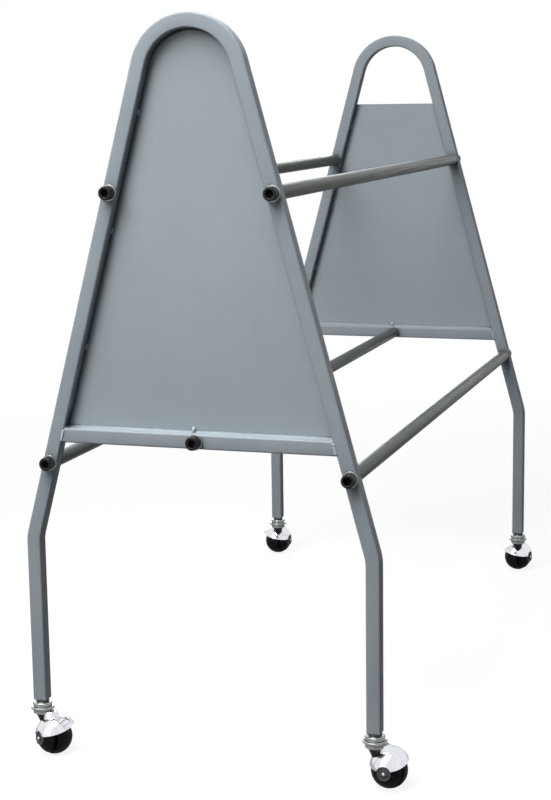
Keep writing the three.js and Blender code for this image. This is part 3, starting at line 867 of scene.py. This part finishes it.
def bolt(place, end, turn):
    side = ENDS[end]
    x, z = RAILS[place]
    bm = bolt_mesh()
    spin = Matrix.Rotation(math.radians(turn), 4, "Z")
    lay = Matrix.Rotation(math.radians(-90), 4, "X")
    aim = Matrix.Rotation(0 if side < 0 else math.pi, 4, "Z")
    bmesh.ops.transform(bm, matrix=aim @ lay @ spin, verts=bm.verts)
    seat = SEAT_GAP + WASHER_THICKNESS
    for face in bm.faces:
        at = face.calc_center_median()
        radius = math.hypot(at.x, at.z)
        depth = abs(at.y)
        if radius < BOLT_SOCKET + 0.3 * MM and depth > seat:
            face.material_index = 1
        elif radius > BOLT_HEAD - 0.4 * MM and depth < seat + 0.05 * MM:
            face.material_index = 2
    materials = (BLACK_STEEL, SOCKET_BLACK_AND_SHADE, ZINC)
    replaced = [f"rail_bolt_{place}_{end}"]
    name, smooth = f"bolt_{place}_{end}", math.radians(25)
    piece = place_object(name, bm, materials, "cart", replaced, smooth)
    piece.location = CENTRE_SHIFT + Vector((x, side * CART_LENGTH / 2, z))


# Casters
def axle_matrix():
    centre = Vector((TRAIL, SIDE_OFFSET, BALL_RADIUS))
    return Matrix.Translation(centre) @ Matrix.Rotation(math.radians(90) - AXLE_TILT, 4, "X")


def place_matrix(place, turning):
    x, y, heading = CASTERS[place]
    turn = Matrix.Rotation(math.radians(heading if turning else 0), 4, "Z")
    return Matrix.Translation(CENTRE_SHIFT + Vector((x, y, 0))) @ turn


def mark_faces(mesh, wanted):
    """Faces whose centre passes the test take the second material."""
    for face in mesh.polygons:
        face.material_index = int(wanted(face.center))
    return mesh


def lathe_mesh(name, profile, segments, looped=False, matrix=None, radius_at=None):
    bm = bmesh.new()
    lathe(bm, profile, segments, looped, radius_at)
    if matrix is not None:
        bmesh.ops.transform(bm, matrix=matrix, verts=bm.verts)
    return mesh_from(name, bm)


def ball_arc(start, end, steps):
    a, b = math.asin(start / BALL_RADIUS), math.asin(end / BALL_RADIUS)
    angles = [a + (b - a) * step / steps for step in range(steps + 1)]
    return [(BALL_RADIUS * math.cos(t), BALL_RADIUS * math.sin(t)) for t in angles]


def wheel_mesh():
    hole = AXLE_RADIUS + SEAT_GAP
    face = ARM_OFFSET - ARM_THICKNESS / 2 - SLOT_GAP
    pole = -math.sqrt(BALL_RADIUS**2 - WHEEL_POLE**2)
    arc = ball_arc(face, pole, 60)
    rim = math.sqrt(BALL_RADIUS**2 - face**2)
    seam = 0.05 * MM
    profile = [(hole, face), (rim - 0.9 * MM, face), (rim - 0.25 * MM, face - 0.08 * MM)]
    for r, z in arc[1:]:
        lift = seam * math.exp(-((z / (0.35 * MM)) ** 2))
        profile.append((r + lift - seam, z))
    profile += [
        (WHEEL_POLE - 0.6 * MM, pole - 0.1 * MM),
        (WHEEL_POLE - 1.2 * MM, pole + 0.4 * MM),
        (hole + 0.5 * MM, pole + 0.4 * MM),
        (hole, pole + 0.8 * MM),
    ]
    return lathe_mesh("wheel", profile, 96, looped=True, matrix=axle_matrix())


def cap_mesh():
    hole = AXLE_RADIUS + SEAT_GAP
    face = ARM_OFFSET + ARM_THICKNESS / 2 + SLOT_GAP
    shoulder = math.sqrt(BALL_RADIUS**2 - CAP_SHOULDER**2)
    edge = 0.5 * MM
    points = [(hole, face, 0), (math.sqrt(BALL_RADIUS**2 - face**2) - 0.3 * MM, face, 0)]
    points += [(r, z, 0) for r, z in ball_arc(face + 0.3 * MM, shoulder, 16)]
    points += [(CAP_BOSS, shoulder, 0.3 * MM), (CAP_BOSS, CAP_REACH, edge)]
    groove = 0.55 * MM
    for ring in (7.6 * MM, 6.0 * MM):
        points += [
            (ring, CAP_REACH, 0.15 * MM),
            (ring - 0.25 * MM, CAP_REACH - groove, 0.1 * MM),
            (ring - 0.75 * MM, CAP_REACH - groove, 0.1 * MM),
            (ring - 1.0 * MM, CAP_REACH, 0.15 * MM),
        ]
    bed = CAP_REACH - 0.5 * MM
    points += [(4.6 * MM, CAP_REACH, 0.2 * MM), (4.3 * MM, bed, 0), (hole, bed, 0)]
    mesh = lathe_mesh("cap", rounded(points, 3), 96, looped=True)
    mark_faces(mesh, lambda at: at.z > shoulder + 0.1 * MM)
    mesh.transform(axle_matrix())
    return mesh


def axle_mesh():
    end = -BALL_RADIUS + WHEEL_POLE / 2
    top = CAP_REACH + SEAT_GAP
    crown, dot = top + AXLE_HEAD_HEIGHT, 1.9 * MM
    points = [
        (0, end, 0),
        (AXLE_RADIUS, end, 0.4 * MM),
        (AXLE_RADIUS, top, 0),
        (AXLE_HEAD, top, 0.2 * MM),
        (AXLE_HEAD, top + 0.45 * AXLE_HEAD_HEIGHT, 0.5 * MM),
        (dot + 0.7 * MM, top + 0.6 * AXLE_HEAD_HEIGHT, 0.3 * MM),
        (dot, top + 0.45 * AXLE_HEAD_HEIGHT, 0.2 * MM),
        (dot * 0.8, crown, 0.6 * MM),
        (0, crown, 0),
    ]
    mesh = lathe_mesh("axle", rounded(points, 5), 64)
    # Painted highlight: the head's ring takes the grey cap's finish and its middle dot chrome, brighter, for
    # the highlight on the head.
    mark_faces(mesh, lambda at: at.z > top - 0.1 * MM and math.hypot(at.x, at.y) > dot)
    mesh.transform(axle_matrix())
    return mesh


def stem_mesh():
    ring, edge = 13.3 * MM, 0.7 * MM
    points = [
        (0, STEM_FOOT, 0),
        (STEM_RADIUS, STEM_FOOT, 0.6 * MM),
        (STEM_RADIUS, RING_BOTTOM, 0.2 * MM),
        (ring, RING_BOTTOM, 0.6 * MM),
        (ring, RING_TOP, 1.3 * MM),
        (10.4 * MM, RING_TOP, 0.2 * MM),
        (10.1 * MM, RING_TOP - 0.35 * MM, 0.2 * MM),
        (9.2 * MM, RING_TOP - 0.35 * MM, 0.2 * MM),
        (8.9 * MM, RING_TOP, 0.2 * MM),
        (STEM_RADIUS, RING_TOP, 0),
        (STEM_RADIUS, LEG_END + 32 * MM, edge),
        (0, LEG_END + 32 * MM, 0),
    ]
    return lathe_mesh("stem", rounded(points, 5), 72)


def nut_mesh():
    """A hexagon nut with its corners taken off by a cone above and below."""
    apothem, bore = 8.5 * MM, STEM_RADIUS + SEAT_GAP
    corner = apothem / math.cos(math.pi / 6)
    low, high, drop = NUT_TOP - NUT_HEIGHT, NUT_TOP, 0.8 * MM
    rows = [
        (bore + 0.4 * MM, low, False),
        (apothem - 0.4 * MM, low, False),
        (corner, low + drop, True),
        (corner, high - drop, True),
        (apothem - 0.4 * MM, high, False),
        (bore + 0.4 * MM, high, False),
        (bore, high - 0.4 * MM, False),
        (bore, low + 0.4 * MM, False),
    ]

    def radius_at(i, radius, angle):
        return min(radius, hexagon_radius(apothem, angle)) if rows[i][2] else radius

    return lathe_mesh("nut", [(r, z) for r, z, _ in rows], 72, looped=True, radius_at=radius_at)


def scratch_object(name, shape):
    return add_object(name, mesh_from(name, shape) if isinstance(shape, bmesh.types.BMesh) else shape)


def settle(obj):
    """Applies the modifiers of a scratch object to its mesh."""
    graph = bpy.context.evaluated_depsgraph_get()
    mesh = bpy.data.meshes.new_from_object(obj.evaluated_get(graph))
    obj.modifiers.clear()
    obj.data = mesh
    return obj


def cut(base, tool, operation):
    boolean = base.modifiers.new(operation.lower(), "BOOLEAN")
    boolean.operation = operation
    boolean.object = tool
    boolean.solver = "EXACT"
    settle(base)
    bpy.data.objects.remove(tool)
    return base


def ellipsoid(name, gap, segments, rings):
    radius = BALL_RADIUS + gap
    bm = bmesh.new()
    bmesh.ops.create_uvsphere(bm, u_segments=segments, v_segments=rings, radius=1)
    scale = Matrix.Diagonal((radius, radius + HOOD_SIDE_EXTRA, radius + HOOD_CROWN_EXTRA, 1))
    centre = Vector((TRAIL, SIDE_OFFSET + HOOD_SIDE_EXTRA, BALL_RADIUS + HOOD_CROWN_EXTRA))
    bmesh.ops.transform(bm, matrix=Matrix.Translation(centre) @ scale, verts=bm.verts)
    return scratch_object(name, bm)


def block(name, size, matrix):
    bm = bmesh.new()
    bmesh.ops.create_cube(bm, size=size)
    bmesh.ops.transform(bm, matrix=matrix, verts=bm.verts)
    return scratch_object(name, bm)


def saddle():
    run = math.hypot(TRAIL, SIDE_OFFSET)
    rise = RACE_BOTTOM - SADDLE_FOOT
    slope_run = run - SADDLE_TOP_OFFSET
    length = math.hypot(slope_run, rise)
    lean = Matrix.Rotation(-math.atan2(slope_run, rise), 4, "Y")
    heading = Matrix.Rotation(math.atan2(SIDE_OFFSET, TRAIL), 4, "Z")
    matrix = heading @ Matrix.Translation((run, 0, SADDLE_FOOT)) @ lean
    profile = [(0, 0), (SADDLE_FOOT_RADIUS, 0), (SADDLE_TOP_RADIUS, length), (0, length)]
    mesh = lathe_mesh("saddle", profile, 64, matrix=matrix)
    above = block("above", BLOCK, Matrix.Translation((0, 0, COLLAR_TOP + BLOCK / 2)))
    return cut(scratch_object("saddle", mesh), above, "DIFFERENCE")


def arm():
    reach = BALL_RADIUS + HOOD_GAP + HOOD_WALL
    outline = []
    for step in range(25):
        angle = math.pi + math.pi * step / 24
        outline.append((ARM_BOSS * math.cos(angle), ARM_BOSS * math.sin(angle)))
    outline += [(reach, reach), (-reach, reach)]
    bm = bmesh.new()
    low, high = ARM_OFFSET - ARM_THICKNESS / 2, ARM_OFFSET + ARM_THICKNESS / 2
    rings = [[bm.verts.new((x, y, z)) for x, y in outline] for z in (low, high)]
    skin(bm, *rings)
    bm.faces.new(reversed(rings[0]))
    bm.faces.new(rings[1])
    bmesh.ops.transform(bm, matrix=axle_matrix(), verts=bm.verts)
    return scratch_object("arm", bm)


def hood_mesh():
    """The dome, its saddle up to the race, the race and collar, and the arm down to the axle."""
    shell = ellipsoid("shell", HOOD_GAP + HOOD_WALL, 96, 64)
    cut(shell, saddle(), "UNION")
    melt = shell.modifiers.new("melt", "REMESH")
    melt.mode = "VOXEL"
    melt.voxel_size = 0.55 * MM
    soften = shell.modifiers.new("soften", "SMOOTH")
    soften.factor, soften.iterations = 0.5, 10
    settle(shell)
    neck = rounded(
        [
            (0, NECK_TIP, 0),
            (2 * MM, NECK_TIP, 0.5 * MM),
            (10 * MM, COLLAR_BOTTOM, 0.3 * MM),
            (13 * MM, COLLAR_BOTTOM, 0.7 * MM),
            (13 * MM, COLLAR_TOP, 0.7 * MM),
            (11.5 * MM, COLLAR_TOP, 0.3 * MM),
            (11.5 * MM, RACE_BOTTOM, 0.3 * MM),
            (16 * MM, RACE_BOTTOM, 0.7 * MM),
            (16 * MM, RACE_TOP, 0.9 * MM),
            (0, RACE_TOP, 0),
        ],
        4,
    )
    cut(shell, scratch_object("neck", lathe_mesh("neck", neck, 96)), "UNION")
    cut(shell, ellipsoid("inside", HOOD_GAP, 96, 64), "DIFFERENCE")
    rim = Matrix.Translation((TRAIL, SIDE_OFFSET, RIM_HEIGHT))
    rim @= Matrix.Rotation(-math.atan(RIM_TRAIL_RISE), 4, "Y") @ Matrix.Rotation(math.atan(RIM_RISE), 4, "X")
    cut(shell, block("below", BLOCK, rim @ Matrix.Translation((0, 0, -BLOCK / 2))), "DIFFERENCE")

    def drill(name, radius, low, high, segments, matrix=None):
        profile = [(0, low), (radius, low), (radius, high), (0, high)]
        tool = lathe_mesh(name, profile, segments, matrix=matrix)
        cut(shell, scratch_object(name, tool), "DIFFERENCE")

    outside = ARM_OFFSET + ARM_THICKNESS / 2
    drill("bore", CAP_BOSS + SLOT_GAP, outside, BLOCK / 2, 64, axle_matrix())
    hanger = cut(arm(), ellipsoid("limit", HOOD_GAP + HOOD_WALL, 96, 64), "INTERSECT")
    cut(shell, hanger, "UNION")
    drill("pin", AXLE_RADIUS + SEAT_GAP, 0, BALL_RADIUS, 48, axle_matrix())
    drill("stem_bore", STEM_RADIUS + SEAT_GAP, STEM_FOOT - SWIVEL_GAP, RACE_TOP + 5 * MM, 48)
    mesh = shell.data.copy()
    bpy.data.objects.remove(shell)

    def on_neck(at):
        share = (at.z - NECK_TIP) / (COLLAR_BOTTOM - NECK_TIP)
        return 0 < share < 1 and abs(math.hypot(at.x, at.y) - (2 + 8 * share) * MM) < 0.4 * MM

    # Faces of the neck cone take the dark metal as painted shade; race and collar faces take zinc.
    mark_faces(mesh, on_neck)
    for face in mesh.polygons:
        x, y, z = face.center
        radius = math.hypot(x, y)
        if z > COLLAR_BOTTOM - 0.1 * MM and radius > 10.4 * MM:
            if z > RACE_BOTTOM - 0.1 * MM or radius < 13.2 * MM:
                face.material_index = 2
    return mesh


def casters():
    meshes = {"wheel": wheel_mesh(), "cap": cap_mesh(), "axle": axle_mesh()}
    meshes |= {"stem": stem_mesh(), "nut": nut_mesh(), "hood": hood_mesh()}
    for place in CASTERS:
        swivel, wheel = f"swivel_{place}", f"wheel_{place}"
        rows = [
            ("nut", DULL_STEEL, "cart", "zinc", False, f"stem_nut_{place}"),
            ("stem", ZINC, "cart", "chrome", False, f"caster_stem_{place}"),
            ("hood", (CHROME, NECK_PAINTED_SHADE, ZINC), swivel, "chrome", True, f"caster_hood_{place}"),
            ("wheel", BLACK_RUBBER, wheel, "black_rubber", True, f"ball_wheel_{place}"),
            ("cap", (BLACK_RUBBER, GREY_CAP), wheel, "grey_cap", True, f"hub_cap_{place}"),
            ("axle", (CHROME, GREY_CAP), wheel, "chrome", True, f"axle_{place}"),
        ]
        for kind, materials, body, slot, turning, replaced in rows:
            mesh = meshes[kind].copy()
            mesh.transform(place_matrix(place, turning))
            dress(f"caster_{kind}_{place}", mesh, materials, body, [replaced])


for end in ENDS:
    end_frame(end)
    crossbar(end)
    panel(end)
    seam_fill(end)
    foot_fillet(end)
    end_welds(end)
for turn, place in enumerate(RAILS):
    rail(place)
    for end in ENDS:
        bolt(place, end, 17 * turn + (0 if end == "near" else 31))
casters()

# Sockets and threaded ends inside the tubes
for name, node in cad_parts.items():
    if name.startswith(("leg_socket_", "rail_end_")):
        node.data.materials.clear()
        node.data.materials.append(ZINC)


# Camera
IMAGE_HEIGHT = 800
FOCAL_PIXELS = 1714.57
AZIMUTH, ELEVATION, ROLL = math.radians(17.983), math.radians(10.083), math.radians(-0.808)
CAMERA_PLACE = Vector((757.42, -2552.51, 878.63)) * MM


def make_camera():
    data = bpy.data.cameras.new("camera")
    data.sensor_width = 36
    data.lens = FOCAL_PIXELS / IMAGE_HEIGHT * data.sensor_width
    data.clip_start, data.clip_end = 0.05, 60
    camera = add_object("camera", data)
    right = Vector((math.cos(AZIMUTH), math.sin(AZIMUTH), 0))
    level = math.cos(ELEVATION)
    back = Vector((math.sin(AZIMUTH) * level, -math.cos(AZIMUTH) * level, math.sin(ELEVATION)))
    up = back.cross(right)
    across = right * math.cos(ROLL) + up * math.sin(ROLL)
    upward = up * math.cos(ROLL) - right * math.sin(ROLL)
    turn = Matrix((across, upward, back)).transposed().to_4x4()
    camera.matrix_world = Matrix.Translation(CAMERA_PLACE) @ turn
    scene.camera = camera


# Floor, world and lamps
FLOOR_SIZE = 14
FLOOR_SHADE, FLOOR_LIFT, FLOOR_GLOSS = 0.14, 0.88, 0.4
FLOOR_NEAR, FLOOR_FAR = 1.3, 2.6
AMBIENT = 0.04


def make_floor():
    """A matt floor that shows pale to the eye, keeps the cart's shadow and fades to white far out."""
    bm = bmesh.new()
    bmesh.ops.create_grid(bm, x_segments=1, y_segments=1, size=FLOOR_SIZE)
    mesh = bpy.data.meshes.new("floor")
    bm.to_mesh(mesh)
    bm.free()
    floor = add_object("floor", mesh)
    s = Shader("floor")
    s.finish((FLOOR_SHADE, FLOOR_SHADE, FLOOR_SHADE, 1), 1.0, Specular_IOR_Level=0.0)
    seen = s.seen(FLOOR_GLOSS)
    glow = s.node("ShaderNodeEmission")
    s.feed(glow.inputs["Strength"], s.times(seen, FLOOR_LIFT))
    both = s.node("ShaderNodeAddShader")
    s.feed(both.inputs[0], s.bsdf.outputs[0])
    s.feed(both.inputs[1], glow.outputs[0])
    away = s.node("ShaderNodeVectorMath", operation="LENGTH")
    s.feed(away.inputs[0], s.place)
    share = s.times(s.span(away.outputs["Value"], FLOOR_NEAR, FLOOR_FAR), seen)
    white = s.node("ShaderNodeEmission")
    mix = s.node("ShaderNodeMixShader")
    for i, value in enumerate((share, both.outputs[0], white.outputs[0])):
        s.feed(mix.inputs[i], value)
    s.feed(s.nodes["Material Output"].inputs["Surface"], mix.outputs[0])
    mesh.materials.append(s.material)


def make_world():
    world = bpy.data.worlds.new("world")
    scene.world = world
    world.use_nodes = True
    s = Nodes(world.node_tree)
    background = s.nodes["Background"]
    background.inputs["Color"].default_value = (1, 1, 1, 1)
    s.feed(background.inputs["Strength"], s.span(s.seen(), 0.0, 1.0, AMBIENT, 1.0))


# Name, place, target, size in metres, spread in degrees and watts
LAMPS = (
    ("key", (-0.8, -2.0, 2.4), (0, -0.5, 0.6), 1.2, 120, 18),
    ("front", (-1.3, -3.2, 1.8), (0, 0, 0.7), 2.0, 180, 20),
    ("top", (-0.2, -1.1, 3.0), (0, -0.6, 0.4), 1.4, 90, 23),
    ("rear", (-1.5, 3.3, 1.6), (0, 0.4, 0.55), 2.4, 180, 55),
)


def make_lamps():
    for name, place, target, size, spread, watts in LAMPS:
        data = bpy.data.lights.new(name, "AREA")
        data.size = size
        data.spread = math.radians(spread)
        data.energy = watts
        lamp = add_object(name, data)
        lamp.visible_camera = False
        lamp.location = place
        lamp.rotation_euler = (Vector(target) - Vector(place)).to_track_quat("-Z", "Y").to_euler()


make_camera()
make_floor()
make_world()
make_lamps()

scene.view_settings.view_transform = "Standard"

bpy.context.view_layer.update()
